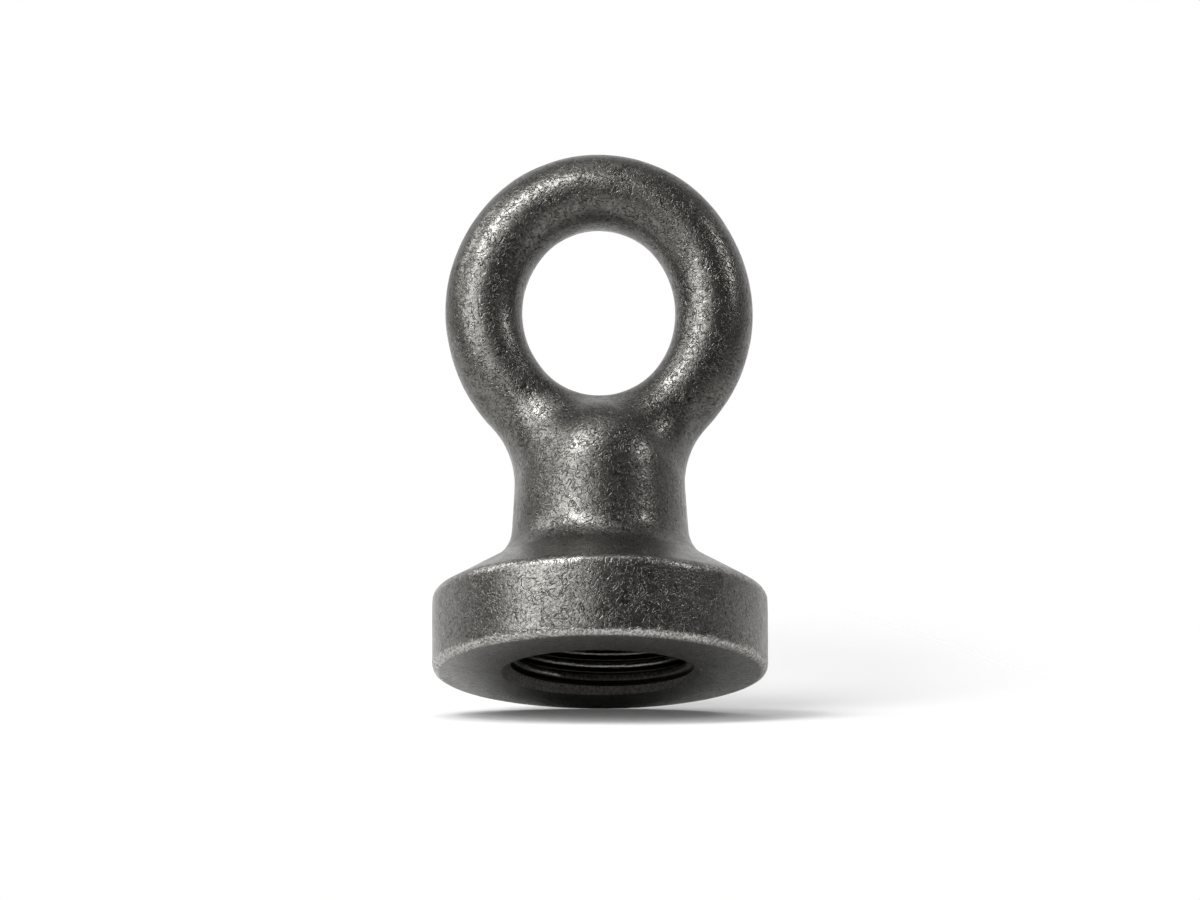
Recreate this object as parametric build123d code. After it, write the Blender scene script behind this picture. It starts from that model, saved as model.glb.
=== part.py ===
import os
from math import cos, radians, sin, tan

from build123d import *

# Lifting eye nut, forged as one piece: an oval ring of round bar on a stout neck,
# which flares over a shallow cone to a thick round collar with a blind threaded hole.
# The seat face lies in XY, the thread axis is Z and the eye opens along Y.

# Collar
collar_diameter = 53.5
collar_height = 12.6  # seat face to the corner where the wall meets the cone
cone_slope = 30.0  # degrees, from the seat face
collar_top_round = 1.8
seat_edge_round = 1.2

# Neck, with a round end that closes it under the eye
neck_diameter = 27.2
neck_draft = 3.5  # degrees, widening downwards
neck_side_length = 12.12  # from the cone up to where the round end begins
neck_foot_round = 6.5
neck_end_below_eye = 0.8  # from the eye's lowest point down to the round end

# Ring, an oval of four arcs swept by a round bar
bar_diameter = 12.4
eye_width = 24.6
eye_height = 27.8
side_arc_half_angle = 38.0  # degrees, from the eye's level to the end of each side arc
shoulder_round = 14.0  # blend between the ring and the neck

# Threaded hole, bored to the minor diameter of its metric thread
thread_diameter = 30.0
thread_pitch = 2.0
thread_height_factor = 1.0825  # major less minor diameter, in pitches
hole_depth = 16.0  # seat face to the end of the full diameter
mouth_width = 0.75  # how far the countersunk mouth is wider than the thread, each side
mouth_angle = 90.0  # degrees, across the countersink
drill_point_angle = 118.0  # degrees, across the cone at the blind end

collar_radius = collar_diameter / 2
neck_radius = neck_diameter / 2
bar_radius = bar_diameter / 2
bore_radius = (thread_diameter - thread_height_factor * thread_pitch) / 2
mouth_radius = thread_diameter / 2 + mouth_width

# Heights up the nut, from the cone's top to the eye's centre. The neck's side meets its
# round end where the two are tangent.
draft = radians(neck_draft)
neck_top_r = neck_radius * cos(draft)
foot_r = neck_top_r + neck_side_length * sin(draft)
foot_z = collar_height + (collar_radius - foot_r) * tan(radians(cone_slope))
neck_top_z = foot_z + neck_side_length * cos(draft)
neck_end_centre = neck_top_z - neck_radius * sin(draft)
eye_bottom = neck_end_centre + neck_radius + neck_end_below_eye
eye_centre_height = eye_bottom + eye_height / 2


def collar_and_neck():
    side = FilletPolyline(
        (0, 0),
        (collar_radius, 0),
        (collar_radius, collar_height),
        (foot_r, foot_z),
        (neck_top_r, neck_top_z),
        radius=[seat_edge_round, collar_top_round, neck_foot_round],
    )
    end = CenterArc((0, neck_end_centre), neck_radius, neck_draft, 90 - neck_draft)
    axis_line = Line((0, neck_end_centre + neck_radius), (0, 0))
    return revolve(Plane.XZ * make_face([side, end, axis_line]), axis=Axis.Z)


def ring():
    # Side and end arcs of the bar's centre line meet in a tangent at the half angle
    half_width = eye_width / 2 + bar_radius
    half_height = eye_height / 2 + bar_radius
    angle = radians(side_arc_half_angle)
    centre_gap = (half_height - half_width) / (cos(angle) + sin(angle) - 1)
    side_centre = centre_gap * cos(angle)
    end_centre = centre_gap * sin(angle)
    side_span = 2 * side_arc_half_angle
    end_span = 180 - side_span
    side_radius = half_width + side_centre
    end_radius = half_height - end_centre
    arcs = [
        CenterArc((-side_centre, 0), side_radius, -side_arc_half_angle, side_span),
        CenterArc((0, end_centre), end_radius, side_arc_half_angle, end_span),
        CenterArc((side_centre, 0), side_radius, 180 - side_arc_half_angle, side_span),
        CenterArc((0, -end_centre), end_radius, 180 + side_arc_half_angle, end_span),
    ]
    eye_plane = Plane(origin=(0, 0, eye_centre_height), x_dir=(1, 0, 0), z_dir=(0, -1, 0))
    bars = []
    for arc in arcs:
        path = eye_plane * arc
        section = Plane(origin=path @ 0, z_dir=path % 0) * Circle(bar_radius)
        bars.append(sweep(section, path=path))
    return bars[0] + bars[1:]


def threaded_hole():
    # Countersunk mouth, full bore and drill point
    mouth_depth = (mouth_radius - bore_radius) / tan(radians(mouth_angle / 2))
    point_height = bore_radius / tan(radians(drill_point_angle / 2))
    outline = Polyline(
        (0, 0),
        (mouth_radius, 0),
        (bore_radius, mouth_depth),
        (bore_radius, hole_depth),
        (0, hole_depth + point_height),
        close=True,
    )
    return revolve(Plane.XZ * make_face(outline), axis=Axis.Z)


def eye_nut():
    body = collar_and_neck() + ring()
    # The seam of the ring on the neck is the only free-form edge
    seam = body.edges().filter_by(GeomType.BSPLINE)
    body = fillet(seam, radius=shoulder_round)
    return body - threaded_hole()


os.makedirs("parts", exist_ok=True)
nut = eye_nut()
export_step(nut, "parts/eye_nut.step")
size = nut.bounding_box().size
print(f"eye_nut {size.X:.2f} x {size.Y:.2f} x {size.Z:.2f} mm, {nut.volume / 1000:.2f} cm3")
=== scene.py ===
from math import cos, pi, radians, sin, tan

import bmesh
import bpy
import numpy as np
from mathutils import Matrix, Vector, noise


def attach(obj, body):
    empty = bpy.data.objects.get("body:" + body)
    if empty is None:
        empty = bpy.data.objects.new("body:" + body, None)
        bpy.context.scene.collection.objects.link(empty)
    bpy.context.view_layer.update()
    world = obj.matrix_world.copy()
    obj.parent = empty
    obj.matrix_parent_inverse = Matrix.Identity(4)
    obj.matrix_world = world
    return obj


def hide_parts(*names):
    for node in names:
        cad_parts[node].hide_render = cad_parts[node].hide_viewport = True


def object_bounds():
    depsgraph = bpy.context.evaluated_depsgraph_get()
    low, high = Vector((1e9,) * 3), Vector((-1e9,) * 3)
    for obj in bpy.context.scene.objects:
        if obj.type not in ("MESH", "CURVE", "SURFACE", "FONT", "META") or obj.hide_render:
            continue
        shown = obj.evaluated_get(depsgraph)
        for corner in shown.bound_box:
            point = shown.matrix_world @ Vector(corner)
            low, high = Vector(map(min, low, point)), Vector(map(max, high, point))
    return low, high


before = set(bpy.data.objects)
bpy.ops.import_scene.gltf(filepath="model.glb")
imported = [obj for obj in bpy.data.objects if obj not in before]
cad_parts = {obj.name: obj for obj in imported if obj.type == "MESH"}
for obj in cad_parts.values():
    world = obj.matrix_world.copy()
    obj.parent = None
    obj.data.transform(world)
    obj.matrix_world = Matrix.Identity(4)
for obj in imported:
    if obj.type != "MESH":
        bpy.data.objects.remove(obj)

# The nut is worked out in millimetres in its own frame: seat face at z = 0, thread
# axis on Z, eye opening along Y. Blender's own unit here is the metre.
mm = 0.001
scene = bpy.context.scene
scene.view_settings.view_transform = "Standard"
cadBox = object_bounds()

# camera: from a little below the seat face, through a long lens
shot = {
    "elevation": -14.5,  # degrees, so the nut's underside shows
    "distance": 1.5,
    "aim": (0.0, 0.0, 0.03663),
    "widthSeen": 0.1922,  # across the whole picture, at the aim
    "sensor": 0.036,
}

aimPoint = Vector(shot["aim"])
tilt = radians(shot["elevation"])
towardCamera = Vector((0.0, -cos(tilt), sin(tilt)))
cameraRight = Vector((1.0, 0.0, 0.0))
cameraUp = towardCamera.cross(cameraRight)


def makeCamera():
    lens = bpy.data.cameras.new("shotLens")
    lens.sensor_width = shot["sensor"] * 1000
    lens.lens = lens.sensor_width * shot["distance"] / shot["widthSeen"]
    lens.clip_start = 0.05
    lens.clip_end = 20.0
    camera = bpy.data.objects.new("shotCamera", lens)
    camera.location = aimPoint + towardCamera * shot["distance"]
    camera.rotation_euler = towardCamera.to_track_quat("Z", "Y").to_euler()
    scene.collection.objects.link(camera)
    scene.camera = camera


# soft boxes, placed by the angles they make with the camera's own line of sight
softBoxes = {
    "keyBox": {"side": -50, "lift": 26, "away": 0.60, "width": 0.36, "height": 0.28, "watts": 1.60},
    "frontBox": {"side": -20, "lift": 27, "away": 0.60, "width": 0.20, "height": 0.14, "watts": 0.38},
    "sideBox": {"side": -96, "lift": 38, "away": 0.60, "width": 0.20, "height": 0.32, "watts": 0.95},
    "topBox": {"side": -44, "lift": 50, "away": 0.60, "width": 0.22, "height": 0.14, "watts": 1.60},
    "overBox": {"side": -10, "lift": 90, "away": 0.60, "width": 0.30, "height": 0.20, "watts": 0.28},
    "crownBox": {"side": -32, "lift": 62, "away": 0.16, "width": 0.08, "height": 0.035, "watts": 0.080},
    "rimBox": {"side": 74, "lift": 37, "away": 0.60, "width": 0.06, "height": 0.15, "watts": 0.52},
}


def makeLights():
    for name, box in softBoxes.items():
        side, lift = radians(box["side"]), radians(box["lift"])
        level = towardCamera * cos(side) + cameraRight * sin(side)
        direction = (level * cos(lift) + cameraUp * sin(lift)).normalized()
        lamp = bpy.data.lights.new(name, "AREA")
        lamp.shape = "RECTANGLE"
        lamp.size, lamp.size_y = box["width"], box["height"]
        lamp.energy = box["watts"]
        holder = bpy.data.objects.new(name, lamp)
        holder.location = aimPoint + direction * box["away"]
        holder.rotation_euler = direction.to_track_quat("Z", "Y").to_euler()
        holder.visible_camera = False
        scene.collection.objects.link(holder)


# small helpers for node trees
def addNode(tree, kind, **settings):
    node = tree.nodes.new(kind)
    for name, value in settings.items():
        setattr(node, name, value)
    return node


def mathNode(tree, operation, first, second=None, clamp=False):
    node = addNode(tree, "ShaderNodeMath", operation=operation, use_clamp=clamp)
    for socket, value in zip(node.inputs, (first, second)):
        if value is None:
            continue
        if isinstance(value, (int, float)):
            socket.default_value = value
        else:
            tree.links.new(value, socket)
    return node.outputs[0]


def rampNode(tree, value, low, high, outLow=0.0, outHigh=1.0):
    node = addNode(tree, "ShaderNodeMapRange", interpolation_type="SMOOTHSTEP")
    tree.links.new(value, node.inputs["Value"])
    node.inputs["From Min"].default_value = low
    node.inputs["From Max"].default_value = high
    node.inputs["To Min"].default_value = outLow
    node.inputs["To Max"].default_value = outHigh
    return node.outputs["Result"]


def noiseNode(tree, vector, scale, detail=2.0, roughness=0.5, distortion=0.0):
    node = addNode(tree, "ShaderNodeTexNoise")
    if vector is not None:
        tree.links.new(vector, node.inputs["Vector"])
    node.inputs["Scale"].default_value = scale
    node.inputs["Detail"].default_value = detail
    node.inputs["Roughness"].default_value = roughness
    node.inputs["Distortion"].default_value = distortion
    return node.outputs["Fac"]


def mixColor(tree, factor, first, second, blend="MIX"):
    node = addNode(tree, "ShaderNodeMix", data_type="RGBA", blend_type=blend)
    for socket, value in ((node.inputs[0], factor), (node.inputs[6], first), (node.inputs[7], second)):
        if isinstance(value, (int, float, tuple)):
            socket.default_value = value
        else:
            tree.links.new(value, socket)
    return node.outputs[2]


def emptyMaterial(name):
    material = bpy.data.materials.new(name)
    material.use_nodes = True
    material.node_tree.nodes.clear()
    return material, material.node_tree


# floor and surroundings
floorLook = {
    "slope": 15.9,  # degrees between the floor and the seat face, which leans back on its far rim
    "hingeLift": 0.00028,  # the far rim is rounded, so the floor meets it above its corner
    "halfSize": 0.6,
    "sweep": 0.11,  # radius at which the ground begins to curve up behind the part
    "rise": 0.12,  # how far back the curve goes
    "strips": 24,  # along the curve
    "fade": (0.045, 0.12),  # how far out the ground gives way to the white surroundings
    "colour": (0.66, 0.66, 0.66, 1.0),
    "cameraLift": 0.06,  # white added for the camera alone, so the ground reads white
}
# the surroundings: white behind the part, dimmer on the camera's side
roomLook = {"diffuse": 0.70, "dimSide": 0.07, "dimTo": -0.25, "whiteFrom": 0.75}


def makeFloor():
    farRim = cadBox[1][1]
    slope = radians(floorLook["slope"])
    along = Vector((0.0, cos(slope), sin(slope)))
    upward = Vector((0.0, -sin(slope), cos(slope)))
    hinge = Vector((0.0, farRim, floorLook["hingeLift"]))
    half, strips = floorLook["halfSize"], floorLook["strips"]
    corners = []
    for depth in [-half] + [floorLook["rise"] * i / strips for i in range(strips + 1)]:
        curve = max(0.0, depth) ** 2 / (2 * floorLook["sweep"])
        middle = hinge + along * depth + upward * curve
        corners += [middle - cameraRight * half, middle + cameraRight * half]
    faces = [(2 * i, 2 * i + 1, 2 * i + 3, 2 * i + 2) for i in range(strips + 1)]
    mesh = bpy.data.meshes.new("floor")
    mesh.from_pydata(corners, [], faces)
    mesh.shade_smooth()
    floor = bpy.data.objects.new("floor", mesh)
    scene.collection.objects.link(floor)

    material, tree = emptyMaterial("paleGround")
    paint = addNode(tree, "ShaderNodeBsdfDiffuse")
    paint.inputs["Color"].default_value = floorLook["colour"]
    glow = addNode(tree, "ShaderNodeEmission")
    rays = addNode(tree, "ShaderNodeLightPath")
    seen = rays.outputs["Is Camera Ray"]
    tree.links.new(mathNode(tree, "MULTIPLY", seen, floorLook["cameraLift"]), glow.inputs["Strength"])
    both = addNode(tree, "ShaderNodeAddShader")
    tree.links.new(paint.outputs[0], both.inputs[0])
    tree.links.new(glow.outputs[0], both.inputs[1])
    clear = addNode(tree, "ShaderNodeBsdfTransparent")
    place = addNode(tree, "ShaderNodeNewGeometry")
    reach = addNode(tree, "ShaderNodeVectorMath", operation="LENGTH")
    tree.links.new(place.outputs["Position"], reach.inputs[0])
    gone = rampNode(tree, reach.outputs["Value"], *floorLook["fade"])
    gone = mathNode(tree, "MAXIMUM", gone, place.outputs["Backfacing"])
    mix = addNode(tree, "ShaderNodeMixShader")
    tree.links.new(mathNode(tree, "MULTIPLY", gone, seen), mix.inputs[0])
    tree.links.new(both.outputs[0], mix.inputs[1])
    tree.links.new(clear.outputs[0], mix.inputs[2])
    output = addNode(tree, "ShaderNodeOutputMaterial")
    tree.links.new(mix.outputs[0], output.inputs["Surface"])
    mesh.materials.append(material)


def makeWorld():
    world = bpy.data.worlds.new("studio")
    scene.world = world
    world.use_nodes = True
    tree = world.node_tree
    tree.nodes.clear()
    rays = addNode(tree, "ShaderNodeLightPath")
    seen = mathNode(tree, "MAXIMUM", rays.outputs["Is Camera Ray"], rays.outputs["Is Transmission Ray"])
    way = addNode(tree, "ShaderNodeSeparateXYZ")
    tree.links.new(addNode(tree, "ShaderNodeTexCoord").outputs["Generated"], way.inputs[0])
    mirrored = rampNode(
        tree, way.outputs["Y"], roomLook["dimTo"], roomLook["whiteFrom"], roomLook["dimSide"], 1.0
    )
    glossy = rays.outputs["Is Glossy Ray"]
    level = mathNode(tree, "MULTIPLY", mirrored, glossy)
    level = mathNode(tree, "MAXIMUM", level, seen)
    plain = mathNode(tree, "SUBTRACT", 1.0, mathNode(tree, "MAXIMUM", glossy, seen))
    level = mathNode(tree, "ADD", level, mathNode(tree, "MULTIPLY", plain, roomLook["diffuse"]))
    sky = addNode(tree, "ShaderNodeBackground")
    sky.inputs["Color"].default_value = (1.0, 1.0, 1.0, 1.0)
    tree.links.new(level, sky.inputs["Strength"])
    output = addNode(tree, "ShaderNodeOutputWorld")
    tree.links.new(sky.outputs[0], output.inputs["Surface"])


# the forging: what its mesh is made from, all in millimetres
forging = {
    "voxel": 0.45,
    "weld": 0.002,  # points of the solid's mesh nearer than this are joined
    "plugMargin": 0.12,  # the plug that fills the plain hole overlaps its wall by this
    "plugTip": 5.0,  # radius of the plug's flat end
    "plugSteps": 96,
    "smoothPasses": 4,
    "shrink": 0.5,  # a pass that shrinks the form is followed by one that swells it back
    "regrow": -0.52,
    "blendPasses": 8,  # extra smoothing where the ring grows out of the neck
    "blendFrom": 33.0,  # lowest and highest level of that smoothing
    "blendTo": 47.0,
    "blendFade": (-3.0, 1.0),  # from where to where it sets in, about each level
    "swell": (13.0, 0.12),  # size and height of the waves that the dies leave
    "dent": (4.6, 0.035),
    "ripple": (1.9, 0.012),
    "seatFade": (0.05, 1.6),  # the seat was flattened by its die, and is smoother up to here
    "seatShare": 0.25,  # of the waves that are left on it
    "lean": 0.35,  # how far the ring leans to the left
    "leanFrom": 20.0,
    "leanTo": 100.0,
}

# the tapped hole, to the same sizes as the solid's plain one
tapped = {
    "major": 15.0,
    "pitch": 2.0,
    "crestFlat": 0.125,  # of the pitch
    "rootFlat": 0.25,
    "mouth": 15.75,
    "bore": 13.9175,
    "depth": 16.0,
    "pointAngle": 59.0,  # degrees between the drill point's side and the axis
    "threadTop": 14.2,
    "runOut": 1.5,
    "slimBy": 0.15,  # how much slimmer than the bore the screw is between its turns
    "stepsRound": 192,
    "stepsPitch": 16,
}
neckBottom = 26.0  # above the drill point, and still inside the neck


def solidFrom(name, points, faces):
    mesh = bpy.data.meshes.new(name)
    mesh.from_pydata([Vector(p) * mm for p in points], [], faces)
    work = bmesh.new()
    work.from_mesh(mesh)
    bmesh.ops.recalc_face_normals(work, faces=work.faces)
    work.to_mesh(mesh)
    work.free()
    piece = bpy.data.objects.new(name, mesh)
    scene.collection.objects.link(piece)
    return piece


def turned(name, outline, steps):
    # a closed solid turned about Z from (radius, height) pairs, first and last on the axis
    inner = outline[1:-1]
    points = [(0.0, 0.0, outline[0][1]), (0.0, 0.0, outline[-1][1])]
    for radius, height in inner:
        points += [
            (radius * cos(2 * pi * i / steps), radius * sin(2 * pi * i / steps), height)
            for i in range(steps)
        ]
    faces = []
    last = 2 + (len(inner) - 1) * steps
    for i in range(steps):
        j = (i + 1) % steps
        faces.append((0, 2 + j, 2 + i))
        faces.append((1, last + i, last + j))
        for row in range(len(inner) - 1):
            a, b = 2 + row * steps, 2 + (row + 1) * steps
            faces.append((a + i, a + j, b + j, b + i))
    return solidFrom(name, points, faces)


def meshWith(piece, modifierKind, **settings):
    # the piece's mesh after one modifier, which doesn't stay on it
    modifier = piece.modifiers.new("work", modifierKind)
    for name, value in settings.items():
        setattr(modifier, name, value)
    bpy.context.view_layer.update()
    evaluated = piece.evaluated_get(bpy.context.evaluated_depsgraph_get())
    made = bpy.data.meshes.new_from_object(evaluated)
    piece.modifiers.remove(modifier)
    return made


def drop(piece):
    mesh = piece.data
    bpy.data.objects.remove(piece)
    bpy.data.meshes.remove(mesh)


def drillTip():
    return tapped["depth"] + tapped["bore"] / tan(radians(tapped["pointAngle"]))


def forgedBlank():
    # the solid with its hole filled, as even small faces
    source = bmesh.new()
    source.from_mesh(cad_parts["eye_nut"].data)
    bmesh.ops.remove_doubles(source, verts=source.verts, dist=forging["weld"] * mm)
    wall = tapped["mouth"] + forging["plugMargin"]
    top = drillTip() + 1
    outline = [(0, 0), (wall, 0), (wall, tapped["depth"]), (forging["plugTip"], top), (0, top)]
    plug = turned("plug", outline, forging["plugSteps"])
    source.from_mesh(plug.data)
    mesh = bpy.data.meshes.new("blank")
    source.to_mesh(mesh)
    source.free()
    drop(plug)
    blank = bpy.data.objects.new("blank", mesh)
    scene.collection.objects.link(blank)
    blank.data = meshWith(blank, "REMESH", mode="VOXEL", voxel_size=forging["voxel"] * mm)
    return blank


def meshArrays(mesh):
    points = np.empty(len(mesh.vertices) * 3)
    mesh.vertices.foreach_get("co", points)
    edges = np.empty(len(mesh.edges) * 2, dtype=np.int64)
    mesh.edges.foreach_get("vertices", edges)
    return points.reshape(-1, 3) / mm, edges.reshape(-1, 2)


def neighbourMean(values, edges):
    count = len(values)
    degree = np.bincount(edges.ravel(), minlength=count).astype(float)
    total = np.zeros_like(values)
    for axis in range(values.shape[1]):
        total[:, axis] += np.bincount(edges[:, 0], weights=values[edges[:, 1], axis], minlength=count)
        total[:, axis] += np.bincount(edges[:, 1], weights=values[edges[:, 0], axis], minlength=count)
    return total / degree[:, None]


def smoothStep(value, low, high):
    t = np.clip((value - low) / (high - low), 0.0, 1.0)
    return t * t * (3 - 2 * t)


def shapeForging(blank):
    mesh = blank.data
    points, edges = meshArrays(mesh)
    for step in range(forging["smoothPasses"]):
        pull = forging["shrink"] if step % 2 == 0 else forging["regrow"]
        points += pull * (neighbourMean(points, edges) - points)
    level = points[:, 2]
    before, after = forging["blendFade"]
    shoulder = smoothStep(level, forging["blendFrom"] + before, forging["blendFrom"] + after)
    shoulder *= 1 - smoothStep(level, forging["blendTo"] + before, forging["blendTo"] + after)
    for step in range(forging["blendPasses"]):
        points += forging["shrink"] * shoulder[:, None] * (neighbourMean(points, edges) - points)
    mesh.vertices.foreach_set("co", (points * mm).ravel())
    mesh.update()

    normals = np.empty(len(mesh.vertices) * 3)
    mesh.vertices.foreach_get("normal", normals)
    normals = normals.reshape(-1, 3)
    lift = np.zeros(len(points))
    for number, key in enumerate(("swell", "dent", "ripple")):
        size, height = forging[key]
        # each size of wave is read from its own part of the noise
        shift = Vector((17.3 * number, 5.1, 9.7 * number))
        lift += height * np.array([noise.noise(Vector(p) / size + shift) for p in points])
    share = forging["seatShare"]
    lift *= share + (1 - share) * smoothStep(points[:, 2], *forging["seatFade"])
    points += normals * lift[:, None]
    points[:, 0] -= forging["lean"] * smoothStep(points[:, 2], forging["leanFrom"], forging["leanTo"])
    mesh.vertices.foreach_set("co", (points * mm).ravel())
    mesh.update()


def threadDepth(phase):
    # 0 at the crest and 1 at the root, over one pitch
    flank = (1 - tapped["crestFlat"] * 2 - tapped["rootFlat"] / 2) / 2
    distance = abs(phase - 0.5)
    root = tapped["rootFlat"] / 4
    return min(1.0, max(0.0, 1 - (distance - root) / flank))


def threadTool():
    # a right-hand screw whose rows climb one pitch in each turn; only its ridges reach
    # past the bore and cut
    pitch, around, perPitch = tapped["pitch"], tapped["stepsRound"], tapped["stepsPitch"]
    slim = tapped["bore"] - tapped["slimBy"]
    start = -2 * pitch
    rows = int((tapped["threadTop"] - start) / pitch * perPitch)
    points = []
    for row in range(rows + 1):
        for i in range(around):
            turn = i / around
            height = start + pitch * (row / perPitch + turn)
            groove = threadDepth((row % perPitch) / perPitch)
            fade = min(1.0, max(0.0, (tapped["threadTop"] - height) / tapped["runOut"]))
            radius = slim + (tapped["major"] - slim) * groove * fade
            points.append((radius * cos(2 * pi * turn), radius * sin(2 * pi * turn), height))
    faces = []
    for row in range(rows):
        for i in range(around - 1):
            a = row * around + i
            faces.append((a, a + 1, a + 1 + around, a + around))
    # the last column of each row meets the first column one pitch further up
    for row in range(rows - perPitch):
        a = row * around + around - 1
        b = (row + perPitch) * around
        faces.append((a, b, b + around, a + around))
    low, high = len(points), len(points) + 1
    points += [(0.0, 0.0, start - pitch), (0.0, 0.0, tapped["threadTop"] + pitch)]
    lowLoop = list(range(around)) + [k * around for k in range(perPitch, 0, -1)]
    highLoop = [rows * around + i for i in range(around)]
    highLoop = [k * around + around - 1 for k in range(rows - perPitch, rows)] + highLoop[::-1]
    for loop, tip in ((lowLoop, low), (highLoop, high)):
        faces += [(tip, loop[k], loop[(k + 1) % len(loop)]) for k in range(len(loop))]
    return solidFrom("threadTool", points, faces)


def boreTool():
    # countersink, bore and drill point in one tool, started below the seat face
    below = 1.0
    mouthDepth = tapped["mouth"] - tapped["bore"]
    outline = [
        (0, -below),
        (tapped["mouth"] + below, -below),
        (tapped["bore"], mouthDepth),
        (tapped["bore"], tapped["depth"]),
        (0, drillTip()),
    ]
    return turned("boreTool", outline, tapped["stepsRound"])


def cutHole(blank):
    for tool in (boreTool(), threadTool()):
        blank.data = meshWith(blank, "BOOLEAN", operation="DIFFERENCE", solver="MANIFOLD", object=tool)
        drop(tool)
    return blank


# colours of the scale on the forging, with painted shade and painted light among them, and how far its finish varies
scaleLook = {
    "dark": (0.104, 0.1015, 0.0945, 1.0),
    "mid": (0.141, 0.138, 0.129, 1.0),
    # pale bare metal, also used as painted light on edges, seat and collar
    "wornAndSheen": (0.56, 0.545, 0.52, 1.0),
    "cut": (0.46, 0.445, 0.42, 1.0),
    "cutPale": (0.58, 0.56, 0.53, 1.0),
    "deepShade": (0.055, 0.053, 0.049, 1.0),  # painted shade, darker further up the hole
    "sootAndShade": (0.030, 0.029, 0.027, 1.0),  # dark scale settled in the wrinkles, and painted shade in the wrinkles and the thread roots
    # pale sharp edges: partly bare worn metal, partly a painted highlight along the edges
    "edgeWear": 0.68,
    "edgeBend": (0.068, 0.119),  # how sharp a turn, a millimetre, begins and ends to wear bare and carry a painted highlight
    "bendPasses": 2,
    # painted light: the face that looks down is made paler
    "seatWear": 0.14,
    "seatFacing": (0.9, 0.98),  # how squarely a face has to look down
    # painted light on the outer collar and the seat's rim
    "collarWear": 0.07,
    "collarFrom": (20.0, 25.0),  # radius at which its painted light sets in
    "collarTop": 20.0,
    # noise cells in a metre
    "wrinkleSize": 560.0,
    "pitSize": 800.0,
    "pitPatches": 90.0,
    "blotchSize": 95.0,
    "speckSize": 720.0,
    "grainSize": 2600.0,
    "wrinkleDepth": 0.00009,
    "tappedDepth": 0.00003,
    "lineWidth": 0.065,  # of the wrinkles, in the noise's own measure
    # how far the wrinkles darken, as settled scale and as painted shade
    "creaseSootAndShade": 0.75,
    "grainTone": (0.74, 1.26),
    "rough": (0.36, 0.28),  # on dark and on light scale
    "rubbedAndSheenPolish": 0.08,
}


def brokenLine(tree, vector, field, width, breakScale):
    # 0 along the field's middle contour and 1 away from it, left out here and there
    offset = mathNode(tree, "ABSOLUTE", mathNode(tree, "SUBTRACT", field, 0.5))
    line = rampNode(tree, offset, 0.0, width, 1.0, 0.0)
    shown = rampNode(tree, noiseNode(tree, vector, breakScale, detail=0.0), 0.36, 0.52)
    return mathNode(tree, "SUBTRACT", 1.0, mathNode(tree, "MULTIPLY", line, shown))


def wrinkleGroup():
    # short curled wrinkles of two sizes over a fine skin, with pits in places
    group = bpy.data.node_groups.new("forgeWrinkles", "ShaderNodeTree")
    face = group.interface
    face.new_socket(name="Vector", in_out="INPUT", socket_type="NodeSocketVector")
    for name in ("Coarse", "Fine", "Skin"):
        face.new_socket(name=name, in_out="INPUT", socket_type="NodeSocketFloat")
    for name in ("Height", "Creases"):
        face.new_socket(name=name, in_out="OUTPUT", socket_type="NodeSocketFloat")
    source = addNode(group, "NodeGroupInput")
    result = addNode(group, "NodeGroupOutput")
    vector = source.outputs["Vector"]
    coarse = noiseNode(group, vector, scaleLook["wrinkleSize"], detail=0.0, distortion=1.6)
    fine = noiseNode(group, vector, scaleLook["wrinkleSize"] * 2.0, detail=0.0, distortion=1.2)
    skin = noiseNode(group, vector, scaleLook["wrinkleSize"] * 1.9, detail=2.5, distortion=1.5)
    coarseLine = brokenLine(group, vector, coarse, scaleLook["lineWidth"], scaleLook["wrinkleSize"] * 1.2)
    fineLine = brokenLine(group, vector, fine, scaleLook["lineWidth"], scaleLook["wrinkleSize"] * 1.9)
    height = mathNode(group, "MULTIPLY", coarseLine, source.outputs["Coarse"])
    height = mathNode(group, "ADD", height, mathNode(group, "MULTIPLY", fineLine, source.outputs["Fine"]))
    height = mathNode(group, "ADD", height, mathNode(group, "MULTIPLY", skin, source.outputs["Skin"]))
    pits = rampNode(group, noiseNode(group, vector, scaleLook["pitSize"], detail=0.0), 0.68, 0.76)
    where = rampNode(group, noiseNode(group, vector, scaleLook["pitPatches"], detail=1.0), 0.52, 0.60)
    pits = mathNode(group, "MULTIPLY", mathNode(group, "MULTIPLY", pits, where), 0.9)
    height = mathNode(group, "SUBTRACT", height, mathNode(group, "MULTIPLY", pits, source.outputs["Coarse"]))
    group.links.new(height, result.inputs["Height"])
    # where the wrinkles lie, which the tone darkens as scale and painted shade
    creases = mathNode(group, "SUBTRACT", 1.0, mathNode(group, "MULTIPLY", coarseLine, fineLine))
    group.links.new(creases, result.inputs["Creases"])
    return group


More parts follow.
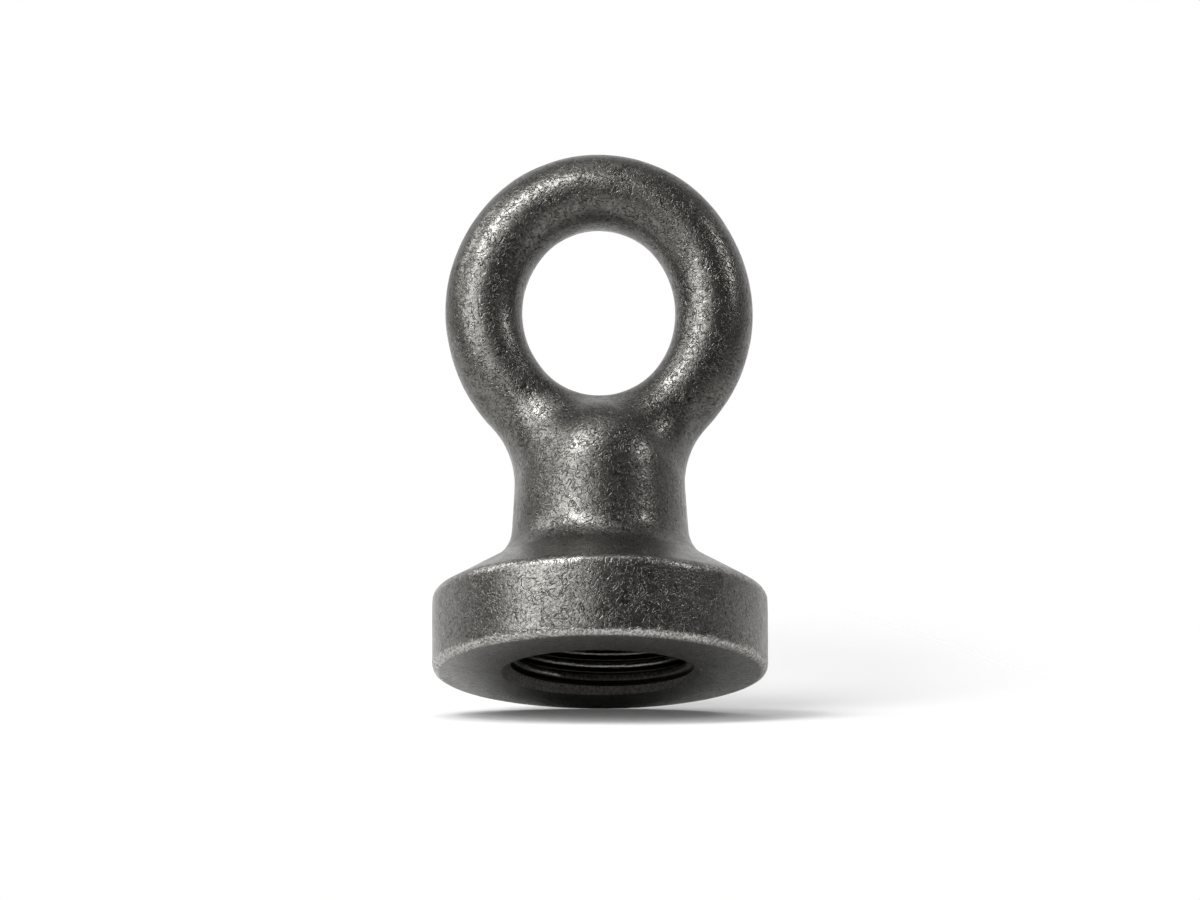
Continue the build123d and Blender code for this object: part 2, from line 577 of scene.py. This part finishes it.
def toneGroup():
    # blotches of darker and lighter scale, darker in the wrinkles from scale and painted shade, and pale where edges
    # are worn bare and where painted light lies on edges, seat and collar
    group = bpy.data.node_groups.new("scaleTone", "ShaderNodeTree")
    face = group.interface
    face.new_socket(name="Vector", in_out="INPUT", socket_type="NodeSocketVector")
    for name in ("Creases", "Wear"):
        face.new_socket(name=name, in_out="INPUT", socket_type="NodeSocketFloat")
    for name in ("Dark", "Mid", "Worn"):
        face.new_socket(name=name, in_out="INPUT", socket_type="NodeSocketColor")
    face.new_socket(name="Color", in_out="OUTPUT", socket_type="NodeSocketColor")
    face.new_socket(name="Roughness", in_out="OUTPUT", socket_type="NodeSocketFloat")
    source = addNode(group, "NodeGroupInput")
    result = addNode(group, "NodeGroupOutput")
    vector = source.outputs["Vector"]
    blotch = noiseNode(group, vector, scaleLook["blotchSize"], detail=4.0, roughness=0.6, distortion=0.4)
    speck = noiseNode(group, vector, scaleLook["speckSize"], detail=3.0, roughness=0.65)
    share = mathNode(group, "ADD", mathNode(group, "MULTIPLY", blotch, 0.6), mathNode(group, "MULTIPLY", speck, 0.4))
    base = mixColor(group, rampNode(group, share, 0.36, 0.62), source.outputs["Dark"], source.outputs["Mid"])
    # wrinkles darkened: scale settled in them, and painted shade
    creaseDarkening = mathNode(group, "MULTIPLY", source.outputs["Creases"], scaleLook["creaseSootAndShade"])
    base = mixColor(group, creaseDarkening, base, scaleLook["sootAndShade"])
    grain = noiseNode(group, vector, scaleLook["grainSize"], detail=1.0, roughness=0.6)
    grainLevel = rampNode(group, grain, 0.3, 0.7, *scaleLook["grainTone"])
    base = mixColor(group, 1.0, base, grainLevel, "MULTIPLY")
    # pale bare metal and painted light, broken up by the grain
    rubbedAndSheen = mathNode(group, "MULTIPLY", source.outputs["Wear"], rampNode(group, grain, 0.38, 0.62, 0.3, 1.0))
    color = mixColor(group, rubbedAndSheen, base, source.outputs["Worn"])
    group.links.new(color, result.inputs["Color"])
    rough = rampNode(group, share, 0.35, 0.65, *scaleLook["rough"])
    polish = mathNode(group, "MULTIPLY", rubbedAndSheen, scaleLook["rubbedAndSheenPolish"])
    rough = mathNode(group, "SUBTRACT", rough, polish)
    group.links.new(rough, result.inputs["Roughness"])
    return group


def placeGroup(tree, group, **values):
    node = addNode(tree, "ShaderNodeGroup", node_tree=group)
    for name, value in values.items():
        if isinstance(value, (int, float, tuple)):
            node.inputs[name].default_value = value
        else:
            tree.links.new(value, node.inputs[name])
    return node


def steelMaterial(name, wrinkles, tone, coarse, fine, skin, depth, wearAndSheenAmount, dark, mid, inHole=False):
    material, tree = emptyMaterial(name)
    place = addNode(tree, "ShaderNodeTexCoord").outputs["Object"]
    wearAndSheenMap = addNode(tree, "ShaderNodeAttribute", attribute_name="wearAndSheen").outputs["Fac"]
    relief = placeGroup(tree, wrinkles, Vector=place, Coarse=coarse, Fine=fine, Skin=skin)
    # the mesh's pale mask: worn edges with a painted highlight on them, and painted light on the seat and collar
    wearAndSheen = mathNode(tree, "MULTIPLY", wearAndSheenMap, wearAndSheenAmount)
    look = placeGroup(
        tree,
        tone,
        Vector=place,
        Creases=0.0 if inHole else relief.outputs["Creases"],
        Wear=wearAndSheen,
        Dark=scaleLook[dark],
        Mid=scaleLook[mid],
        Worn=scaleLook["wornAndSheen"],
    )
    color = look.outputs["Color"]
    if inHole:
        # painted shade: darker up the hole, and darkest in the thread's roots
        axes = addNode(tree, "ShaderNodeSeparateXYZ")
        tree.links.new(place, axes.inputs[0])
        level = axes.outputs["Z"]
        reach = mathNode(tree, "POWER", axes.outputs["X"], 2.0)
        reach = mathNode(tree, "ADD", reach, mathNode(tree, "POWER", axes.outputs["Y"], 2.0))
        reach = mathNode(tree, "SQRT", reach)
        # painted shade, darker further up the hole
        color = mixColor(tree, rampNode(tree, level, 0.001, 0.009), color, scaleLook["deepShade"])
        bore, mouth = tapped["bore"] * mm, tapped["mouth"] * mm
        # painted shade in the thread's roots, past the mouth
        root = rampNode(tree, reach, bore + 0.08 * mm, bore + 0.45 * mm)
        pastMouth = rampNode(tree, mathNode(tree, "ADD", reach, level), mouth + 0.10 * mm, mouth + 0.35 * mm)
        root = mathNode(tree, "MULTIPLY", root, pastMouth)
        color = mixColor(tree, mathNode(tree, "MULTIPLY", root, 0.92), color, scaleLook["sootAndShade"])
    bump = addNode(tree, "ShaderNodeBump")
    bump.inputs["Strength"].default_value = 1.0
    bump.inputs["Distance"].default_value = depth
    tree.links.new(relief.outputs["Height"], bump.inputs["Height"])
    steel = addNode(tree, "ShaderNodeBsdfPrincipled")
    steel.inputs["Metallic"].default_value = 1.0
    tree.links.new(color, steel.inputs["Base Color"])
    tree.links.new(look.outputs["Roughness"], steel.inputs["Roughness"])
    tree.links.new(bump.outputs["Normal"], steel.inputs["Normal"])
    output = addNode(tree, "ShaderNodeOutputMaterial")
    tree.links.new(steel.outputs[0], output.inputs["Surface"])
    return material


def markWear(mesh):
    # how sharply the surface turns outward, kept on the points for the materials: pale edges, partly bare worn metal
    # and partly a painted highlight
    points, edges = meshArrays(mesh)
    normals = np.empty(len(mesh.vertices) * 3)
    mesh.vertices.foreach_get("normal", normals)
    normals = normals.reshape(-1, 3)
    bend = ((points - neighbourMean(points, edges)) * normals).sum(axis=1)
    bend = bend[:, None] / forging["voxel"] ** 2
    for step in range(scaleLook["bendPasses"]):
        bend = 0.5 * bend + 0.5 * neighbourMean(bend, edges)
    wearAndSheen = scaleLook["edgeWear"] * smoothStep(bend[:, 0], *scaleLook["edgeBend"])
    # painted light: the seat face, which looks down, and the outer collar are made paler
    reach = np.hypot(points[:, 0], points[:, 1])
    seat = scaleLook["seatWear"] * smoothStep(-normals[:, 2], *scaleLook["seatFacing"])
    collar = scaleLook["collarWear"] * smoothStep(reach, *scaleLook["collarFrom"])
    collar *= points[:, 2] < scaleLook["collarTop"]
    wearAndSheen = np.maximum(np.maximum(wearAndSheen, seat), collar)
    inHole = reach < tapped["mouth"] + 0.3
    wearAndSheen[inHole & (points[:, 2] < neckBottom)] = 0.0
    layer = mesh.attributes.new("wearAndSheen", "FLOAT", "POINT")
    layer.data.foreach_set("value", wearAndSheen)


def creaseRim(mesh):
    # crisp edges where the mouth cuts the seat and the thread starts
    mesh.set_sharp_from_angle(angle=radians(25))
    points, edges = meshArrays(mesh)
    reach = np.hypot(points[:, 0], points[:, 1])[edges].min(axis=1)
    level = points[:, 2][edges].max(axis=1)
    layer = mesh.attributes["sharp_edge"].data
    sharp = np.empty(len(edges), dtype=bool)
    layer.foreach_get("value", sharp)
    crisp = (reach > tapped["mouth"] - 0.5) | (level < tapped["mouth"] - tapped["bore"] + 0.5)
    layer.foreach_set("value", sharp & crisp)


def isCut(center):
    # inside the hole's own surfaces
    radius = Vector((center.x, center.y)).length / mm
    level = center.z / mm
    if level < tapped["depth"]:
        return radius < tapped["mouth"] + 0.03
    return radius < tapped["bore"] - 1.0 and level < neckBottom


def finishNut(piece):
    wrinkles, tone = wrinkleGroup(), toneGroup()
    mesh = piece.data
    mesh.materials.clear()
    depth, cutDepth = scaleLook["wrinkleDepth"], scaleLook["tappedDepth"]
    mesh.materials.append(
        steelMaterial("forgedSteel", wrinkles, tone, 0.42, 0.30, 0.62, depth, 1.0, "dark", "mid")
    )
    mesh.materials.append(
        steelMaterial("tappedSteel", wrinkles, tone, 0.0, 0.05, 0.12, cutDepth, 0.6, "cut", "cutPale", True)
    )
    for polygon in mesh.polygons:
        polygon.material_index = 1 if isCut(polygon.center) else 0
    mesh.shade_smooth()
    creaseRim(mesh)
    markWear(mesh)


makeCamera()
makeLights()
makeFloor()
makeWorld()
print("stage: camera, lights and ground ready")

nut = forgedBlank()
print("stage: blank remeshed,", len(nut.data.polygons), "faces")
shapeForging(nut)
print("stage: forging shaped")
nut = cutHole(nut)
print("stage: hole cut,", len(nut.data.polygons), "faces")
finishNut(nut)
nut.name = "eyeNut"
nut.data.name = "eyeNut"
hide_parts("eye_nut")
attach(nut, "root")
print("stage: eye nut finished")
